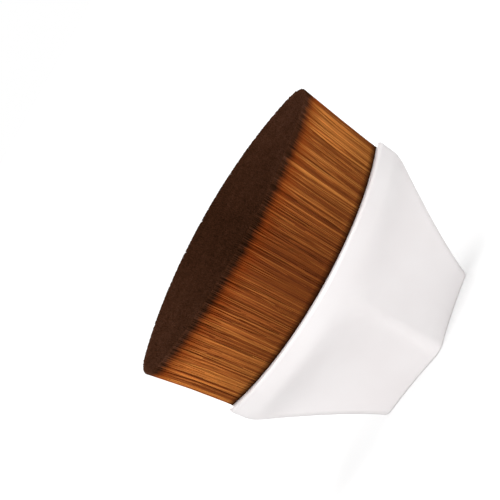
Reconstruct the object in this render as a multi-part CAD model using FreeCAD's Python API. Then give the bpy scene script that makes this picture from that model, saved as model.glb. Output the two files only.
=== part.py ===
import FreeCAD, Part
import math
import os
from collections import namedtuple

# Handle sizes in millimetres, Z up, origin at the middle of the foot
mouth_length = 60.5
mouth_width = 32.0
handle_height = 29.0
collar_height = 5.0
collar_flare = 0.5
shoulder_rounding = 1.6
base_length = 32.2
base_width = 18.8

# How the foot outline opens into the petal mouth
end_flare_power = 1.14
front_flare_power = 1.7
ridge_fade_power = 10.0
bow_power = 4.0
base_end_radius = 1.6
mouth_end_radius = 2.4
ridge_radius = 3.0
mouth_ridge_share = 0.9
base_bow_share = -0.3
mouth_bow_share = 0.96
least_bow_share = 0.001
body_section_shares = (0.12, 0.24, 0.36, 0.49, 0.62, 0.75, 0.88, 1.0)
shoulder_section_shares = (-0.5, 0.0, 0.5, 1.0)
collar_section_shares = (0.25, 0.5)
least_section_gap = 0.5

# Rounded edges of the handle
mouth_edge_radius = 0.8
foot_edge_radius = 0.6
edge_section_shares = (0.0, 0.25, 0.5, 0.75, 1.0)
inner_corner_radius = 0.8

# Shell thickness, seat ribs and the thinned lip of the mouth
shell_wall = 1.6
shell_floor = 2.0
lip_wall = 1.2
lip_depth = 4.0
rib_thickness = 1.4

# Cup that carries the hair
glue_gap = 0.15
cup_wall = 0.9
cup_floor = 1.2
cup_height = 10.4

# Resin bed and thread round the roots
resin_depth = 3.2
resin_under_roots = 1.0
root_inset = 0.9
thread_thickness = 0.5
thread_band_height = 2.0
thread_lift = 0.6

# Bristle bundle
hair_gap = 0.12
hair_height = 19.1
tip_length = 63.4
tip_width = 34.8
tip_end_radius = 9.0
tip_crown = 0.6
hair_mouth_inset = 0.25

# Overrun of cutting shapes past the faces that they cut
overrun = 1.0

# Heights and insets that follow from the sizes above
body_height = handle_height - collar_height
plain_height = body_height - shoulder_rounding
collar_z = body_height + shoulder_rounding
cup_rim_z = handle_height - lip_depth - glue_gap
cup_base_z = cup_rim_z - cup_height
cup_floor_z = cup_base_z + cup_floor
resin_top_z = cup_floor_z + resin_depth
root_z = cup_floor_z + resin_under_roots
thread_low_z = resin_top_z + thread_lift
thread_high_z = thread_low_z + thread_band_height
tip_z = handle_height + hair_height
cup_outer_inset = shell_wall + glue_gap
cup_inner_inset = cup_outer_inset + cup_wall
root_outline_inset = cup_inner_inset + root_inset

Outline = namedtuple("Outline", "half_length half_width end_radius ridge_radius side_radius")


def blend(low, high, share):
    return low + (high - low) * share


def lens_radius(half_length, half_width, end_radius):
    """Radius of the single arc that spans a petal with rounded ends."""
    reach = half_length - end_radius
    return (reach ** 2 + half_width ** 2 - end_radius ** 2) / (2 * (half_width - end_radius))


def petal(half_length, half_width, end_radius, ridge, ridge_share, bow_share):
    """Outline between a hollow-sided rhombus with rounded corners and a pointed petal."""
    lens = lens_radius(half_length, half_width, end_radius)
    ridge_now = blend(ridge, mouth_ridge_share * lens, ridge_share)
    bow = math.copysign(max(abs(bow_share), least_bow_share), bow_share)
    return Outline(half_length, half_width, end_radius, ridge_now, lens / bow)


def body_rise(z):
    """Share of the body's flare reached at height z, eased over the rounded shoulder."""
    into_shoulder = min(max(z - plain_height, 0.0), 2 * shoulder_rounding)
    eased = min(z, collar_z) - into_shoulder ** 2 / (4 * shoulder_rounding)
    return eased / body_height


def handle_outline(z):
    """Outside of the handle at height z: the flaring body, then the nearly upright collar."""
    rise = body_rise(z)
    flare = collar_flare * (z - rise * body_height) / collar_height
    return petal(
        blend(base_length / 2, mouth_length / 2 - collar_flare, rise ** end_flare_power) + flare,
        blend(base_width / 2, mouth_width / 2 - collar_flare, rise ** front_flare_power) + flare,
        blend(base_end_radius, mouth_end_radius, rise),
        ridge_radius,
        rise ** ridge_fade_power,
        blend(base_bow_share, mouth_bow_share, rise ** bow_power),
    )


def tip_outline():
    """Outside of the hair at its cut tips."""
    return petal(tip_length / 2, tip_width / 2, tip_end_radius, ridge_radius, 1.0, mouth_bow_share)


def side_centre(outline):
    """Centre of the side arc that touches both the end arc and the ridge arc, outside for a hollow side."""
    end_x = outline.half_length - outline.end_radius
    ridge_y = outline.half_width - outline.ridge_radius
    to_end = outline.side_radius - outline.end_radius
    to_ridge = outline.side_radius - outline.ridge_radius
    span = math.hypot(end_x, ridge_y)
    along = (to_end ** 2 - to_ridge ** 2 + span ** 2) / (2 * span)
    across = math.copysign(math.sqrt(to_end ** 2 - along ** 2), outline.side_radius)
    step_x = -end_x / span
    step_y = ridge_y / span
    return end_x + along * step_x - across * step_y, along * step_y + across * step_x


def arc(centre, radius, start_angle, end_angle, z):
    """Edge on a circle between two angles."""
    points = []
    for angle in (start_angle, (start_angle + end_angle) / 2, end_angle):
        x = centre[0] + radius * math.cos(angle)
        y = centre[1] + radius * math.sin(angle)
        points.append(FreeCAD.Vector(x, y, z))
    return Part.Arc(*points).toShape()


def petal_wire(outline, z, inset=0.0):
    """Closed wire of eight touching arcs, moved inwards by the inset."""
    side_x, side_y = side_centre(outline)
    end_r = max(outline.end_radius - inset, inner_corner_radius)
    ridge_r = max(outline.ridge_radius - inset, inner_corner_radius)
    side_r = outline.side_radius - inset
    swell = math.copysign(1, side_r)
    end_x = side_x + swell * math.sqrt((side_r - end_r) ** 2 - side_y ** 2)
    ridge_y = side_y + swell * math.sqrt((side_r - ridge_r) ** 2 - side_x ** 2)
    end_angle = math.atan2(-side_y * swell, (end_x - side_x) * swell)
    ridge_angle = math.atan2((ridge_y - side_y) * swell, -side_x * swell)
    turn = math.pi
    edges = [
        arc((end_x, 0), end_r, -end_angle, end_angle, z),
        arc((side_x, side_y), side_r, end_angle, ridge_angle, z),
        arc((0, ridge_y), ridge_r, ridge_angle, turn - ridge_angle, z),
        arc((-side_x, side_y), side_r, turn - ridge_angle, turn - end_angle, z),
        arc((-end_x, 0), end_r, turn - end_angle, turn + end_angle, z),
        arc((-side_x, -side_y), side_r, turn + end_angle, turn + ridge_angle, z),
        arc((0, -ridge_y), ridge_r, turn + ridge_angle, 2 * turn - ridge_angle, z),
        arc((side_x, -side_y), side_r, 2 * turn - ridge_angle, 2 * turn - end_angle, z),
    ]
    return Part.Wire(edges)


def section_heights(low_z, high_z):
    """Heights of the outlines that shape the handle between two heights."""
    heights = [share * plain_height for share in body_section_shares]
    heights += [body_height + share * shoulder_rounding for share in shoulder_section_shares]
    heights += [blend(collar_z, handle_height, share) for share in collar_section_shares]
    between = [z for z in heights if low_z + least_section_gap < z < high_z - least_section_gap]
    return [low_z] + between + [high_z]


def handle_space(low_z, high_z, inset):
    """Block that follows the outside of the handle, moved inwards by the inset."""
    wires = [petal_wire(handle_outline(z), z, inset) for z in section_heights(low_z, high_z)]
    return Part.makeLoft(wires, True)


def rounded_edge(edge_z, radius, inward):
    """Layer of the handle whose outside turns over to a flat face at the edge height."""
    wires = []
    for share in edge_section_shares:
        turn = share * math.pi / 2
        z = edge_z + inward * radius * (1 - math.sin(turn))
        wires.append(petal_wire(handle_outline(z), z, radius * (1 - math.cos(turn))))
    return Part.makeLoft(wires, True)


def handle_outside():
    """Solid outside of the handle with its rounded mouth and foot."""
    body = handle_space(foot_edge_radius, handle_height - mouth_edge_radius, 0.0)
    mouth_edge = rounded_edge(handle_height, mouth_edge_radius, -1)
    foot_edge = rounded_edge(0.0, foot_edge_radius, 1)
    return body.fuse([mouth_edge, foot_edge])


def handle_cavity():
    """Inside of the shell, opening out at the thinned lip."""
    lip_z = handle_height - lip_depth
    inside = handle_space(shell_floor, lip_z, shell_wall)
    rim = handle_outline(handle_height)
    lip_wires = [
        petal_wire(handle_outline(lip_z), lip_z, shell_wall),
        petal_wire(rim, handle_height, lip_wall),
        petal_wire(rim, handle_height + overrun, lip_wall),
    ]
    return inside.fuse(Part.makeLoft(lip_wires, True, True))


def seat_ribs(cavity):
    """Crossed ribs on the floor that carry the cup."""
    rib_height = cup_base_z - shell_floor
    plates = []
    for length, width in ((mouth_length, rib_thickness), (rib_thickness, mouth_width)):
        corner = FreeCAD.Vector(-length / 2, -width / 2, shell_floor)
        plates.append(Part.makeBox(length, width, rib_height, corner))
    return plates[0].fuse(plates[1]).common(cavity)


def handle_shell():
    """White hollow handle."""
    cavity = handle_cavity()
    shell = handle_outside().cut(cavity)
    return shell.fuse(seat_ribs(cavity))


def cup_cavity():
    """Inside of the cup, open past its rim."""
    return handle_space(cup_floor_z, cup_rim_z + overrun, cup_inner_inset)


def bristle_cup():
    """Inner cup that the hair is glued into."""
    return handle_space(cup_base_z, cup_rim_z, cup_outer_inset).cut(cup_cavity())


def root_adhesive(bundle):
    """Resin bed that fills the foot of the cup round the fibre roots."""
    corner = FreeCAD.Vector(-mouth_length / 2, -mouth_width / 2, cup_floor_z)
    layer = Part.makeBox(mouth_length, mouth_width, resin_depth, corner)
    return cup_cavity().common(layer).cut(bundle)


def root_binding(bundle):
    """Thread wound round the bundle above the resin."""
    band = handle_space(thread_low_z, thread_high_z, root_outline_inset - thread_thickness)
    return band.cut(bundle)


def bristle_bundle():
    """Hair from its bound roots to the cut tips."""
    root = handle_space(root_z, thread_high_z, root_outline_inset)
    neck = handle_outline(thread_high_z)
    rim = handle_outline(cup_rim_z)
    mouth = handle_outline(handle_height)
    spread_wires = [
        petal_wire(neck, thread_high_z, root_outline_inset),
        petal_wire(rim, cup_rim_z, cup_inner_inset + hair_gap),
        petal_wire(mouth, handle_height, lip_wall + hair_mouth_inset),
        petal_wire(tip_outline(), tip_z),
    ]
    hair = root.fuse(Part.makeLoft(spread_wires, True, True))
    half_tip = tip_length / 2
    crown_radius = (half_tip ** 2 + tip_crown ** 2) / (2 * tip_crown)
    start = FreeCAD.Vector(0, -tip_width, tip_z - crown_radius)
    crown = Part.makeCylinder(crown_radius, 2 * tip_width, start, FreeCAD.Vector(0, 1, 0))
    return hair.common(crown)


os.makedirs("parts", exist_ok=True)
hair_bundle = bristle_bundle()
pieces = {
    "handle_shell": handle_shell(),
    "bristle_cup": bristle_cup(),
    "root_adhesive": root_adhesive(hair_bundle),
    "root_binding": root_binding(hair_bundle),
    "bristle_bundle": hair_bundle,
}
for name, shape in pieces.items():
    print(name, "valid", shape.isValid(), "solids", len(shape.Solids), "volume", round(shape.Volume))
    shape.exportStep("parts/" + name + ".step")
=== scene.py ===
import math

import bpy
from mathutils import Matrix, Vector


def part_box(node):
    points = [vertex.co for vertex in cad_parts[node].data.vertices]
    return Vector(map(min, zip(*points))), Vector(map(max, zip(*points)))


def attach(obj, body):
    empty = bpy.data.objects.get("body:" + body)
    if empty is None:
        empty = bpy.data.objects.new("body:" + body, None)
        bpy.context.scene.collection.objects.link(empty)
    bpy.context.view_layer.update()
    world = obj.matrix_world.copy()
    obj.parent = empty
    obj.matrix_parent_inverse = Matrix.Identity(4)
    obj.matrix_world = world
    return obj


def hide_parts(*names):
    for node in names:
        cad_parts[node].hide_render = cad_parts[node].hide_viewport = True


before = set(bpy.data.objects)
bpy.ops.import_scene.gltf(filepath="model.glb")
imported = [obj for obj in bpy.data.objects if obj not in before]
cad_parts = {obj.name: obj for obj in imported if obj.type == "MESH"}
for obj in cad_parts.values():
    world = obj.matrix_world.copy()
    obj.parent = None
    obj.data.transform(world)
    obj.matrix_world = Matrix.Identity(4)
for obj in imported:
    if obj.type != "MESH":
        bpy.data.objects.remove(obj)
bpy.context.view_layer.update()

MM = 0.001

# Camera fitted to the photograph: angles in degrees, lengths in metres
CAMERA_AZIMUTH = -0.45
CAMERA_ELEVATION = 15.3
CAMERA_ROLL = 60.8
CAMERA_DISTANCE = 0.6
CAMERA_LENS_MM = 220.2
CAMERA_SENSOR_MM = 36
CAMERA_CLIP_START = 0.01
CAMERA_AIM = (-0.7 * MM, 4.6 * MM, 39.8 * MM)

# Lamps: azimuth and elevation in degrees, distance and size in metres, watts
LAMPS = {
    "front box": (1, 6, 1.2, 0.2, 7.7),
    "right top box": (72, 76, 1.2, 0.6, 8.0),
    "left top box": (-75, 52, 1.2, 0.6, 5.6),
    "back box": (180, 20, 1.2, 0.6, 6.0),
}
WORLD_STRENGTH = 0.25
FLOOR_LIFT = 0.55
FLOOR_HALF = 0.5

# Handle finish: width of the faint clouds, and grain and depth of the sparked skin. The grain is drawn
# coarser than real spark marks, so that it shows.
CLOUD_WIDTH = 14 * MM
SKIN_GRAIN = 0.35 * MM
SKIN_DEPTH = 0.02 * MM

# Hair outlines: where it leaves the neck and the mouth, and how its cut tips are shaped
HAIR_MOUTH_INSET = 1.3 * MM
MOUTH_END_RADIUS = 1.2 * MM
TIP_END_RADIUS = 9.0 * MM
NECK_END_RADIUS = 1.2 * MM
NECK_INSET = 0.6 * MM
TIP_CROWN = 0.6 * MM
TIP_EDGE_DROP = 0.05 * MM
TIP_EDGE_SHARE = 0.95

# Tufts: sectors of the tip face, each grown on a flat sheet of so many spokes and rings
TUFT_COUNT = 6
SHEET_SPOKES = 24
SHEET_RINGS = 20

# Fibres: tubes planted this far apart, that narrow to the tip mid brush and swell there at its edge. Real
# ones are about 0.07 mm thick and stand closer. These are about three times as thick, so that they show.
FIBRE_SPACING = 0.13 * MM
FIBRE_DENSITY_LIMIT = 1.0e8
FIBRE_RADIUS = 0.105 * MM
FIBRE_TIP_SHARE = 0.85
TAPER_START = 0.6
EDGE_TIP_SWELL = 1.0

# Tube: its sides and rows, and the rows, as shares of its length, at the mouth and where locks part
TUBE_SIDES = 3
TUBE_ROWS = 3
MOUTH_ROW = 1 / 3
PARTING_ROW = 2 / 3
ROW_TOLERANCE = 0.1

# Locks: fibres that lean and part together, calmer at the edge, and a few fibres that wander far
LOCK_WIDTH = 0.7 * MM
LOCK_LEAN = 1.6 * MM
LOCK_PARTING = 0.6 * MM
PARTINGS_PER_LOCK = 0.5
PARTING_REACH = 0.2
DRIFTS_PER_LOCK = 0.25
FIBRE_WANDER = 1.1 * MM
WANDER_POWER = 5.0
TIP_STRAY = 0.1 * MM
LENGTH_SCATTER = 0.25 * MM
EDGE_CALM = 0.05

# Seeds: of the first tuft's planting, and of a fibre's tone, wander and stray
FIRST_SEED = 31
TONE_SEED = 3
WANDER_SEED = 7
STRAY_SEED = 5

# Tone of a fibre, from dark 0 to pale 1: weights of its own draw, its lock and the wide drift, and the
# painted shade added mid brush and the painted light added, beyond a share of the half length, at the ends
OWN_TONE = 0.48
LOCK_TONE = 0.2
WIDE_TONE = 0.3
MIDDLE_PAINTED_SHADE = -0.15
END_PAINTED_LIGHT = 0.17
PAINTED_LIGHT_FROM = 0.9

# Dye, and painted shade: places on a fibre's map, from the neck at 0 to the tip at 1, where each colour
# starts and ends, and its greatest share. The crevice and shade colours are painted shade where the hair
# leaves the mouth; the red and the dark are dye. A pale fibre changes a little later.
MOUTH_PLACE = 0.34
CREVICE_SHADE_END, CREVICE_SHADE_SHARE = 0.4, 0.95
SHADE_END, SHADE_SHARE = 0.62, 0.3
RED_START, RED_END, RED_SHARE = 0.77, 0.9, 0.8
DARK_START, DARK_END = 0.875, 0.935
DIP_BY_TONE = -0.05

# Map of the fibres: slant that parts a tube's sides, width of its strip, margins, and height of its end faces
MAP_SLANT = 0.35
MAP_STRIP = 0.02
MAP_SIDE_MARGIN = 0.04
MAP_END_MARGIN = 0.01
MAP_END_HEIGHT = 0.004


def linear(hex_colour):
    """Turns an sRGB hex colour into linear RGBA."""
    parts = [int(hex_colour[i:i + 2], 16) / 255 for i in (1, 3, 5)]
    return tuple(c / 12.92 if c <= 0.04045 else ((c + 0.055) / 1.055) ** 2.4 for c in parts) + (1.0,)


def add(tree, kind, inputs=(), **settings):
    """Adds a node, sets its properties, then fills its inputs or links them to a socket or a node."""
    made = tree.nodes.new(kind)
    for name, value in settings.items():
        setattr(made, name, value)
    for key, value in dict(inputs).items():
        if isinstance(value, bpy.types.Node):
            value = next(s for s in value.outputs if s.enabled and not s.is_unavailable)
        if isinstance(value, bpy.types.NodeSocket):
            tree.links.new(value, made.inputs[key])
        else:
            made.inputs[key].default_value = value
    return made


def new_material(name):
    """Empty node material."""
    material = bpy.data.materials.new(name)
    material.use_nodes = True
    material.node_tree.nodes.clear()
    return material, material.node_tree


def set_stops(ramp, stops):
    """Gives a colour ramp its (place, hex colour) stops."""
    elements = ramp.color_ramp.elements
    while len(elements) < len(stops):
        elements.new(1.0)
    for element, (place, colour) in zip(elements, stops):
        element.position = place
        element.color = linear(colour)


def moulded_white_abs():
    """White moulded ABS: soft satin gloss, faint mould clouding and a fine sparked skin."""
    material, tree = new_material("white ABS, satin moulded")
    place = add(tree, "ShaderNodeTexCoord").outputs["Object"]
    clouds = add(tree, "ShaderNodeTexNoise", {"Vector": place, "Scale": 1 / CLOUD_WIDTH, "Detail": 2.0})
    colour = add(tree, "ShaderNodeValToRGB", {"Fac": clouds})
    set_stops(colour, ((0.3, "#F1ECEC"), (0.7, "#F5F1F1")))
    skin = add(tree, "ShaderNodeTexNoise", {"Vector": place, "Scale": 1 / SKIN_GRAIN, "Detail": 3.0})
    rough = add(tree, "ShaderNodeMapRange", {"Value": skin, "To Min": 0.3, "To Max": 0.42})
    bump = add(tree, "ShaderNodeBump", {"Height": skin, "Strength": 0.04, "Distance": SKIN_DEPTH})
    shader = add(tree, "ShaderNodeBsdfPrincipled", {
        "Base Color": colour, "Roughness": rough, "IOR": 1.53, "Normal": bump})
    add(tree, "ShaderNodeOutputMaterial", {"Surface": shader})
    return material


def bristle_fibre():
    """Dyed nylon: amber shafts of uneven tone with painted shade at the mouth, a red-brown change and dark
    dipped tips.

    Its gloss is left off, because on tubes thicker than real fibres it turns the dark cut face grey.
    """
    material, tree = new_material("nylon fibre, amber with dark tips")
    on_map = add(tree, "ShaderNodeUVMap", uv_map="OFBake")
    axes = add(tree, "ShaderNodeSeparateXYZ", {"Vector": on_map}).outputs
    tone, along = axes["X"], axes["Y"]
    shaft = add(tree, "ShaderNodeValToRGB", {"Fac": tone})
    set_stops(shaft, ((0.0, "#602A15"), (0.5, "#A05728"), (1.0, "#F29F4E")))
    # Painted shade: fibres go near black where they leave the mouth and lighten along the shaft, for the
    # rim's shadow
    shaded = add(tree, "ShaderNodeMapRange", {
        "Value": along, "From Min": MOUTH_PLACE, "From Max": SHADE_END, "To Min": SHADE_SHARE, "To Max": 0.0})
    crevice_shade = add(tree, "ShaderNodeMapRange", {
        "Value": along, "From Min": MOUTH_PLACE, "From Max": CREVICE_SHADE_END,
        "To Min": CREVICE_SHADE_SHARE, "To Max": 0.0})
    painted_root_shade = add(tree, "ShaderNodeMath", {0: shaded, 1: crevice_shade}, operation="MAXIMUM")
    root_shaded = add(tree, "ShaderNodeMix", {
        "Factor": painted_root_shade, "A": shaft, "B": linear("#2A140A")}, data_type="RGBA")
    dip = add(tree, "ShaderNodeMath", {0: tone, 1: DIP_BY_TONE, 2: along}, operation="MULTIPLY_ADD")
    red_share = add(tree, "ShaderNodeMapRange", {
        "Value": dip, "From Min": RED_START, "From Max": RED_END, "To Max": RED_SHARE})
    reddened = add(tree, "ShaderNodeMix", {
        "Factor": red_share, "A": root_shaded, "B": linear("#8A3A10")}, data_type="RGBA")
    dark = add(tree, "ShaderNodeValToRGB", {"Fac": tone})
    set_stops(dark, ((0.0, "#231208"), (0.5, "#3F2517"), (1.0, "#543629")))
    dark_share = add(tree, "ShaderNodeMapRange", {
        "Value": dip, "From Min": DARK_START, "From Max": DARK_END})
    dyed = add(tree, "ShaderNodeMix", {"Factor": dark_share, "A": reddened, "B": dark}, data_type="RGBA")
    shader = add(tree, "ShaderNodeBsdfPrincipled", {
        "Base Color": dyed, "Roughness": 0.5, "IOR": 1.53, "Specular IOR Level": 0.0})
    add(tree, "ShaderNodeOutputMaterial", {"Surface": shader})
    return material


def grained(name, low, high, grain, roughness):
    """Finish of a hidden piece: two close tones in grains of a real size."""
    material, tree = new_material(name)
    place = add(tree, "ShaderNodeTexCoord").outputs["Object"]
    grains = add(tree, "ShaderNodeTexNoise", {"Vector": place, "Scale": 1 / grain, "Detail": 2.0})
    colour = add(tree, "ShaderNodeValToRGB", {"Fac": grains})
    set_stops(colour, ((0.35, low), (0.65, high)))
    shader = add(tree, "ShaderNodeBsdfPrincipled", {"Base Color": colour, "Roughness": roughness})
    add(tree, "ShaderNodeOutputMaterial", {"Surface": shader})
    return material


def petal_point(half_length, half_width, end_radius, angle):
    """Point on a petal outline: one arc a side, joined by round ends."""
    reach = half_length - end_radius
    arc = (reach ** 2 + half_width ** 2 - end_radius ** 2) / (2 * (half_width - end_radius))
    x = half_length * math.cos(angle)
    touch = reach * arc / (arc - end_radius)
    if abs(x) < touch:
        y = math.sqrt(arc ** 2 - x ** 2) - (arc - half_width)
    else:
        y = math.sqrt(max(end_radius ** 2 - (abs(x) - reach) ** 2, 0.0))
    return Vector((x, math.copysign(y, math.sin(angle)), 0.0))


def hair_sizes():
    """Half sizes, end radius and height of the neck, mouth and tip outlines, from the CAD boxes."""
    shell_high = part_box("handle_shell")[1]
    hair_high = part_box("bristle_bundle")[1]
    bind_low, bind_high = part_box("root_binding")
    neck = (bind_high[0] - NECK_INSET, bind_high[1] - NECK_INSET, NECK_END_RADIUS, bind_low[2])
    mouth = (shell_high[0] - HAIR_MOUTH_INSET, shell_high[1] - HAIR_MOUTH_INSET,
             MOUTH_END_RADIUS, shell_high[2])
    tip = (hair_high[0] - FIBRE_RADIUS, hair_high[1] - FIBRE_RADIUS, TIP_END_RADIUS, hair_high[2])
    return neck, mouth, tip


def tuft_sheet(start, end, sizes):
    """Flat sector of the tip face. Each corner knows where its fibre leaves the neck and the mouth."""
    spokes, rings = SHEET_SPOKES, SHEET_RINGS
    corners, mouths, necks, edges, ends, faces = [], [], [], [], [], []
    for spoke in range(spokes + 1):
        angle = start + (end - start) * spoke / spokes
        for ring in range(rings + 1):
            neck_at, mouth_at, tip_at = [petal_point(*size[:3], angle) * ring / rings for size in sizes]
            for place, size in zip((neck_at, mouth_at, tip_at), sizes):
                place.z = size[3]
            edge = max(ring / rings - TIP_EDGE_SHARE, 0.0) / (1 - TIP_EDGE_SHARE)
            tip_at.z -= TIP_CROWN * (tip_at.x / sizes[2][0]) ** 2 + TIP_EDGE_DROP * edge ** 2
            necks.extend(neck_at)
            mouths.extend(mouth_at)
            edges.append(edge)
            ends.append(abs(tip_at.x) / sizes[2][0])
            corners.append(tip_at)
    wide = rings + 1
    for spoke in range(spokes):
        for ring in range(rings):
            first = spoke * wide + ring
            faces.append((first, first + 1, first + wide + 1, first + wide))
    mesh = bpy.data.meshes.new("tuft sheet")
    mesh.from_pydata(corners, [], faces)
    mesh.attributes.new("mouth_at", "FLOAT_VECTOR", "POINT").data.foreach_set("vector", mouths)
    mesh.attributes.new("neck_at", "FLOAT_VECTOR", "POINT").data.foreach_set("vector", necks)
    mesh.attributes.new("edge", "FLOAT", "POINT").data.foreach_set("value", edges)
    mesh.attributes.new("end_share", "FLOAT", "POINT").data.foreach_set("value", ends)
    sheet = bpy.data.objects.new("tuft sheet", mesh)
    bpy.context.scene.collection.objects.link(sheet)
    return sheet


def planted_points(tree, given, out_of_mouth):
    """One point per fibre over the tip face, with its tone, its parting and a tip that leans."""
    points = add(tree, "GeometryNodeDistributePointsOnFaces", {
        "Mesh": given["Geometry"], "Distance Min": given["Spacing"], "Density Max": FIBRE_DENSITY_LIMIT,
        "Seed": given["Seed"]}, distribute_method="POISSON")
    mouth_at = add(tree, "GeometryNodeInputNamedAttribute", {"Name": "mouth_at"}, data_type="FLOAT_VECTOR")
    per_lock = add(tree, "ShaderNodeMath", {0: 1.0, 1: given["Lock width"]}, operation="DIVIDE")
    in_locks = add(tree, "ShaderNodeVectorMath", {0: mouth_at, "Scale": per_lock}, operation="SCALE")
    lock = add(tree, "ShaderNodeTexVoronoi", {"Vector": in_locks, "Scale": 1.0})
    draws = add(tree, "ShaderNodeSeparateXYZ", {"Vector": lock.outputs["Color"]}).outputs
    wide = add(tree, "ShaderNodeTexNoise", {"Vector": in_locks, "Scale": DRIFTS_PER_LOCK, "Detail": 1.0})
    own = add(tree, "FunctionNodeRandomValue", {"Seed": TONE_SEED}, data_type="FLOAT")
    own_part = add(tree, "ShaderNodeMath", {0: own, 1: OWN_TONE}, operation="MULTIPLY")
    lock_part = add(tree, "ShaderNodeMath", {
        0: draws["X"], 1: LOCK_TONE, 2: own_part}, operation="MULTIPLY_ADD")
    mixed = add(tree, "ShaderNodeMath", {0: wide, 1: WIDE_TONE, 2: lock_part}, operation="MULTIPLY_ADD")
    # Painted light and shade: fibres at the brush's ends are drawn paler and those mid brush darker, for how
    # light falls
    end_share = add(tree, "GeometryNodeInputNamedAttribute", {"Name": "end_share"}, data_type="FLOAT")
    painted_end_light = add(tree, "ShaderNodeMapRange", {
        "Value": end_share, "From Max": PAINTED_LIGHT_FROM, "To Min": MIDDLE_PAINTED_SHADE, "To Max": END_PAINTED_LIGHT})
    tone = add(tree, "ShaderNodeMath", {0: mixed, 1: painted_end_light}, operation="ADD", use_clamp=True)
    points = add(tree, "GeometryNodeStoreNamedAttribute", {
        "Geometry": points, "Name": "tone", "Value": tone}, data_type="FLOAT")
    border = add(tree, "ShaderNodeTexVoronoi", {
        "Vector": in_locks, "Scale": PARTINGS_PER_LOCK}, feature="DISTANCE_TO_EDGE")
    parted = add(tree, "ShaderNodeMapRange", {
        "Value": border, "From Max": PARTING_REACH, "To Min": given["Parting"], "To Max": 0.0})
    points = add(tree, "GeometryNodeStoreNamedAttribute", {
        "Geometry": points, "Name": "parted", "Value": parted}, data_type="FLOAT")
    tip_at = leaning_tips(tree, given, out_of_mouth, draws["Y"])
    return add(tree, "GeometryNodeStoreNamedAttribute", {
        "Geometry": points, "Name": "tip_at", "Value": tip_at}, data_type="FLOAT_VECTOR")


def leaning_tips(tree, given, out_of_mouth, draw):
    """Tips moved sideways with their lock and a little on their own, calmer at the edge; a few wander far."""
    sideways = add(tree, "ShaderNodeVectorMath", {
        0: out_of_mouth, 1: (0, 0, 1)}, operation="CROSS_PRODUCT")
    half_lean = add(tree, "ShaderNodeMath", {0: given["Lean"], 1: -0.5}, operation="MULTIPLY")
    lean = add(tree, "ShaderNodeMath", {0: draw, 1: given["Lean"], 2: half_lean}, operation="MULTIPLY_ADD")
    edge = add(tree, "GeometryNodeInputNamedAttribute", {"Name": "edge"}, data_type="FLOAT")
    calm = add(tree, "ShaderNodeMapRange", {"Value": edge, "To Min": 1.0, "To Max": EDGE_CALM})
    lean = add(tree, "ShaderNodeMath", {0: lean, 1: calm}, operation="MULTIPLY")
    chance = add(tree, "FunctionNodeRandomValue", {2: -1.0, 3: 1.0, "Seed": WANDER_SEED}, data_type="FLOAT")
    rare = add(tree, "ShaderNodeMath", {0: chance, 1: WANDER_POWER}, operation="POWER")
    lean = add(tree, "ShaderNodeMath", {0: rare, 1: given["Wander"], 2: lean}, operation="MULTIPLY_ADD")
    leaned = add(tree, "ShaderNodeVectorMath", {0: sideways, "Scale": lean}, operation="SCALE")
    draws = add(tree, "FunctionNodeRandomValue", {
        "Min": (-1, -1, -1), "Max": (1, 1, 0), "Seed": STRAY_SEED}, data_type="FLOAT_VECTOR")
    reach = add(tree, "ShaderNodeCombineXYZ", {
        "X": given["Stray"], "Y": given["Stray"], "Z": given["Length scatter"]})
    stray = add(tree, "ShaderNodeVectorMath", {0: draws, 1: reach}, operation="MULTIPLY")
    stray = add(tree, "ShaderNodeVectorMath", {0: stray, "Scale": calm}, operation="SCALE")
    place = add(tree, "GeometryNodeInputPosition")
    moved = add(tree, "ShaderNodeVectorMath", {0: place, 1: leaned}, operation="ADD")
    return add(tree, "ShaderNodeVectorMath", {0: moved, 1: stray}, operation="ADD")


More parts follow.
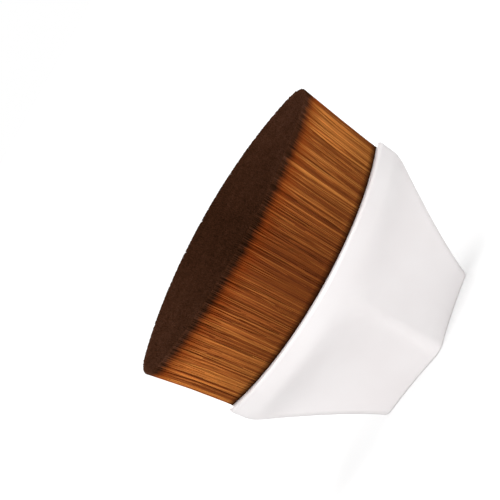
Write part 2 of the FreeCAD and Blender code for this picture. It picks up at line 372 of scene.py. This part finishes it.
def bent_fibres(tree, given, points, out_of_mouth):
    """A three-sided tube on each point, bent from neck to mouth to tip and tapered above the mouth."""
    tube = add(tree, "GeometryNodeMeshCylinder", {
        "Vertices": TUBE_SIDES, "Side Segments": TUBE_ROWS, "Radius": 1.0, "Depth": 1.0}, fill_type="NGON")
    tube = add(tree, "GeometryNodeStoreNamedAttribute", {
        "Geometry": tube.outputs["Mesh"], "Name": "local", "Value": add(tree, "GeometryNodeInputPosition")},
        data_type="FLOAT_VECTOR")
    planted = add(tree, "GeometryNodeInstanceOnPoints", {"Points": points, "Instance": tube})
    real = add(tree, "GeometryNodeRealizeInstances", {"Geometry": planted})
    kept = {}
    for label, kind in (("local", "FLOAT_VECTOR"), ("neck_at", "FLOAT_VECTOR"), ("mouth_at", "FLOAT_VECTOR"),
                        ("tip_at", "FLOAT_VECTOR"), ("parted", "FLOAT"), ("edge", "FLOAT")):
        kept[label] = add(tree, "GeometryNodeInputNamedAttribute", {"Name": label}, data_type=kind)
    local = add(tree, "ShaderNodeSeparateXYZ", {"Vector": kept["local"]}).outputs
    along = add(tree, "ShaderNodeMath", {0: local["Z"], 1: 0.5}, operation="ADD")
    below = add(tree, "ShaderNodeMapRange", {"Value": along, "From Max": MOUTH_ROW})
    above = add(tree, "ShaderNodeMapRange", {"Value": along, "From Min": MOUTH_ROW})
    line = add(tree, "ShaderNodeMix", {
        "Factor": below, "A": kept["neck_at"], "B": kept["mouth_at"]}, data_type="VECTOR")
    line = add(tree, "ShaderNodeMix", {"Factor": above, "A": line, "B": kept["tip_at"]}, data_type="VECTOR")
    middle = add(tree, "ShaderNodeMath", {0: along, 1: PARTING_ROW, 2: ROW_TOLERANCE}, operation="COMPARE")
    inward = add(tree, "ShaderNodeMath", {0: middle, 1: kept["parted"]}, operation="MULTIPLY")
    inward = add(tree, "ShaderNodeVectorMath", {0: out_of_mouth, "Scale": inward}, operation="SCALE")
    line = add(tree, "ShaderNodeVectorMath", {0: line, 1: inward}, operation="SUBTRACT")
    tip_share = add(tree, "ShaderNodeMath", {
        0: kept["edge"], 1: given["Edge swell"], 2: given["Tip share"]}, operation="MULTIPLY_ADD")
    taper = add(tree, "ShaderNodeMapRange", {
        "Value": along, "From Min": TAPER_START, "To Min": 1.0, "To Max": tip_share})
    thick = add(tree, "ShaderNodeMath", {0: given["Radius"], 1: taper}, operation="MULTIPLY")
    across = add(tree, "ShaderNodeCombineXYZ", {"X": local["X"], "Y": local["Y"]})
    across = add(tree, "ShaderNodeVectorMath", {0: across, "Scale": thick}, operation="SCALE")
    surface = add(tree, "ShaderNodeVectorMath", {0: line, 1: across}, operation="ADD")
    fibres = add(tree, "GeometryNodeSetPosition", {"Geometry": real, "Position": surface})
    return fibres, local, along


def mapped_fibres(tree, fibres, local, along):
    """Map with a fibre's tone across and its length up, so that fibres of one tone share a strip."""
    tone = add(tree, "GeometryNodeInputNamedAttribute", {"Name": "tone"}, data_type="FLOAT")
    slant = add(tree, "ShaderNodeMath", {
        0: local["Y"], 1: MAP_SLANT, 2: local["X"]}, operation="MULTIPLY_ADD")
    strip = add(tree, "ShaderNodeMath", {0: slant, 1: MAP_STRIP, 2: tone}, operation="MULTIPLY_ADD")
    across = add(tree, "ShaderNodeMapRange", {
        "Value": strip, "From Min": -MAP_SIDE_MARGIN, "From Max": 1 + MAP_SIDE_MARGIN})
    up = add(tree, "ShaderNodeMath", {
        0: along, 1: 1 - 2 * MAP_END_MARGIN, 2: MAP_END_MARGIN}, operation="MULTIPLY_ADD")
    up = add(tree, "ShaderNodeMath", {0: local["Y"], 1: MAP_END_HEIGHT, 2: up}, operation="MULTIPLY_ADD")
    on_map = add(tree, "ShaderNodeCombineXYZ", {"X": across, "Y": up})
    return add(tree, "GeometryNodeStoreNamedAttribute", {
        "Geometry": fibres, "Name": "OFBake", "Value": on_map}, data_type="FLOAT2", domain="CORNER")


def fibre_tree(material):
    """Geometry nodes that grow a tuft of fibres on a flat sheet of the tip face."""
    tree = bpy.data.node_groups.new("bristle fibres", "GeometryNodeTree")
    face = tree.interface
    face.new_socket(name="Geometry", in_out="INPUT", socket_type="NodeSocketGeometry")
    for label in ("Spacing", "Radius", "Tip share", "Edge swell", "Lock width", "Lean", "Wander", "Parting",
                  "Slimness", "Stray", "Length scatter"):
        face.new_socket(name=label, in_out="INPUT", socket_type="NodeSocketFloat")
    face.new_socket(name="Seed", in_out="INPUT", socket_type="NodeSocketInt")
    face.new_socket(name="Geometry", in_out="OUTPUT", socket_type="NodeSocketGeometry")
    given = add(tree, "NodeGroupInput").outputs
    mouth_at = add(tree, "GeometryNodeInputNamedAttribute", {"Name": "mouth_at"}, data_type="FLOAT_VECTOR")
    petal = add(tree, "ShaderNodeCombineXYZ", {"X": given["Slimness"], "Y": 1.0})
    outwards = add(tree, "ShaderNodeVectorMath", {0: mouth_at, 1: petal}, operation="MULTIPLY")
    out_of_mouth = add(tree, "ShaderNodeVectorMath", {0: outwards}, operation="NORMALIZE")
    points = planted_points(tree, given, out_of_mouth)
    fibres, local, along = bent_fibres(tree, given, points, out_of_mouth)
    fibres = mapped_fibres(tree, fibres, local, along)
    smooth = add(tree, "GeometryNodeSetShadeSmooth", {"Geometry": fibres})
    painted = add(tree, "GeometryNodeSetMaterial", {"Geometry": smooth, "Material": material})
    add(tree, "NodeGroupOutput", {"Geometry": painted})
    return tree


def grown_tuft(name, sheet, tree, sizes, seed):
    """Evaluates the fibre tree on a sheet and keeps the result as a plain mesh."""
    mouth = sizes[1]
    values = {
        "Spacing": FIBRE_SPACING * 1.0, "Radius": FIBRE_RADIUS,
        "Tip share": FIBRE_TIP_SHARE, "Edge swell": EDGE_TIP_SWELL, "Lock width": LOCK_WIDTH,
        "Lean": LOCK_LEAN, "Wander": FIBRE_WANDER, "Parting": LOCK_PARTING,
        "Slimness": (mouth[1] / mouth[0]) ** 2, "Stray": TIP_STRAY, "Length scatter": LENGTH_SCATTER,
        "Seed": seed,
    }
    grow = sheet.modifiers.new("fibres", "NODES")
    grow.node_group = tree
    for socket in tree.interface.items_tree:
        if socket.in_out == "INPUT" and socket.name in values:
            grow[socket.identifier] = values[socket.name]
    depsgraph = bpy.context.evaluated_depsgraph_get()
    mesh = bpy.data.meshes.new_from_object(sheet.evaluated_get(depsgraph))
    mesh.name = name
    for label in ("neck_at", "mouth_at", "tip_at", "local", "tone", "parted", "edge", "end_share"):
        mesh.attributes.remove(mesh.attributes[label])
    sheet.modifiers.remove(grow)
    flat_mesh = sheet.data
    bpy.data.objects.remove(sheet)
    bpy.data.meshes.remove(flat_mesh)
    tuft = bpy.data.objects.new(name, mesh)
    bpy.context.scene.collection.objects.link(tuft)
    return tuft


def make_bristles():
    """All the hair, as sectors that each stay a manageable mesh."""
    tree = fibre_tree(bristle_fibre())
    sizes = hair_sizes()
    for place in range(TUFT_COUNT):
        start = 2 * math.pi * place / TUFT_COUNT
        end = 2 * math.pi * (place + 1) / TUFT_COUNT
        sheet = tuft_sheet(start, end, sizes)
        tuft = grown_tuft("bristle_tuft_%d" % (place + 1), sheet, tree, sizes, place + FIRST_SEED)
        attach(tuft, "root")
        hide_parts("bristle_bundle")


def dress_cad_nodes():
    """Real finishes on the pieces that keep their CAD shape."""
    finishes = {
        "handle_shell": moulded_white_abs(),
        # Dull, even grey of a plain moulding
        "bristle_cup": grained("grey ABS, matte moulded", "#B2B1AF", "#BEBDBA", 1.0 * MM, 0.6),
        # Shiny honey brown with faint swirls from the pour
        "root_adhesive": grained("amber epoxy, poured", "#9A7A46", "#A98850", 2.0 * MM, 0.2),
        # Dark and dull, with specks as wide as a strand
        "root_binding": grained("waxed polyester thread", "#3A2A1C", "#4E3A28", 0.25 * MM, 0.7),
    }
    for name, material in finishes.items():
        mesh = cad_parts[name].data
        mesh.materials.clear()
        mesh.materials.append(material)


def seen_directly(tree):
    """One where the camera, a gloss or glass looks straight at a surface, and zero for its light."""
    path = add(tree, "ShaderNodeLightPath").outputs
    seen = add(tree, "ShaderNodeMath", {
        0: path["Is Camera Ray"], 1: path["Is Glossy Ray"]}, operation="MAXIMUM")
    return add(tree, "ShaderNodeMath", {0: seen, 1: path["Is Transmission Ray"]}, operation="MAXIMUM")


def make_floor():
    """Pale table: lit as usual, and lifted to white where it is seen directly."""
    half = FLOOR_HALF
    mesh = bpy.data.meshes.new("floor")
    corners = [(-half, -half, 0), (half, -half, 0), (half, half, 0), (-half, half, 0)]
    mesh.from_pydata(corners, [], [(0, 1, 2, 3)])
    floor = bpy.data.objects.new("floor", mesh)
    bpy.context.scene.collection.objects.link(floor)
    material, tree = new_material("pale table")
    lift = add(tree, "ShaderNodeMath", {0: seen_directly(tree), 1: FLOOR_LIFT}, operation="MULTIPLY")
    glow = add(tree, "ShaderNodeEmission", {"Color": (1, 1, 1, 1), "Strength": lift})
    matt = add(tree, "ShaderNodeBsdfDiffuse", {"Color": linear("#BCBCBC")})
    both = add(tree, "ShaderNodeAddShader", {0: matt, 1: glow})
    add(tree, "ShaderNodeOutputMaterial", {"Surface": both})
    mesh.materials.append(material)


def aim_along(direction, roll=0.0):
    """Turn that looks back along a direction, with the up side rolled about it."""
    back = Vector(direction).normalized()
    right = Vector((0, 0, 1)).cross(back).normalized()
    upright = Matrix((right, back.cross(right), back)).transposed()
    return upright.to_4x4() @ Matrix.Rotation(roll, 4, "Z")


def from_angles(azimuth, elevation):
    """Direction from the object to an eye or a lamp, in degrees."""
    a, e = math.radians(azimuth), math.radians(elevation)
    return Vector((math.sin(a) * math.cos(e), -math.cos(a) * math.cos(e), math.sin(e)))


def make_camera():
    """Long lens at the photograph's angle, rolled so that the brush lies aslant."""
    data = bpy.data.cameras.new("camera")
    data.lens = CAMERA_LENS_MM
    data.sensor_width = CAMERA_SENSOR_MM
    data.clip_start = CAMERA_CLIP_START
    camera = bpy.data.objects.new("camera", data)
    back = from_angles(CAMERA_AZIMUTH, CAMERA_ELEVATION)
    place = Vector(CAMERA_AIM) + back * CAMERA_DISTANCE
    camera.matrix_world = Matrix.Translation(place) @ aim_along(back, -math.radians(CAMERA_ROLL))
    bpy.context.scene.collection.objects.link(camera)
    bpy.context.scene.camera = camera


def make_lamp(name, azimuth, elevation, distance, size, watts):
    """Round soft box that faces the middle of the foot."""
    data = bpy.data.lights.new(name, "AREA")
    data.shape = "DISK"
    data.size = size
    data.energy = watts
    lamp = bpy.data.objects.new(name, data)
    back = from_angles(azimuth, elevation)
    lamp.matrix_world = Matrix.Translation(back * distance) @ aim_along(back)
    bpy.context.scene.collection.objects.link(lamp)


def make_light():
    """Soft studio: pale surroundings that look white, a box in front and behind, and one above each end."""
    world = bpy.data.worlds.new("studio")
    world.use_nodes = True
    tree = world.node_tree
    tree.nodes.clear()
    strength = add(tree, "ShaderNodeMapRange", {
        "Value": seen_directly(tree), "To Min": WORLD_STRENGTH, "To Max": 1.0})
    sky = add(tree, "ShaderNodeBackground", {"Color": (1, 1, 1, 1), "Strength": strength})
    add(tree, "ShaderNodeOutputWorld", {"Surface": sky})
    bpy.context.scene.world = world
    for name, values in LAMPS.items():
        make_lamp(name, *values)


dress_cad_nodes()
make_bristles()
make_floor()
make_camera()
make_light()
bpy.context.scene.view_settings.view_transform = "Standard"
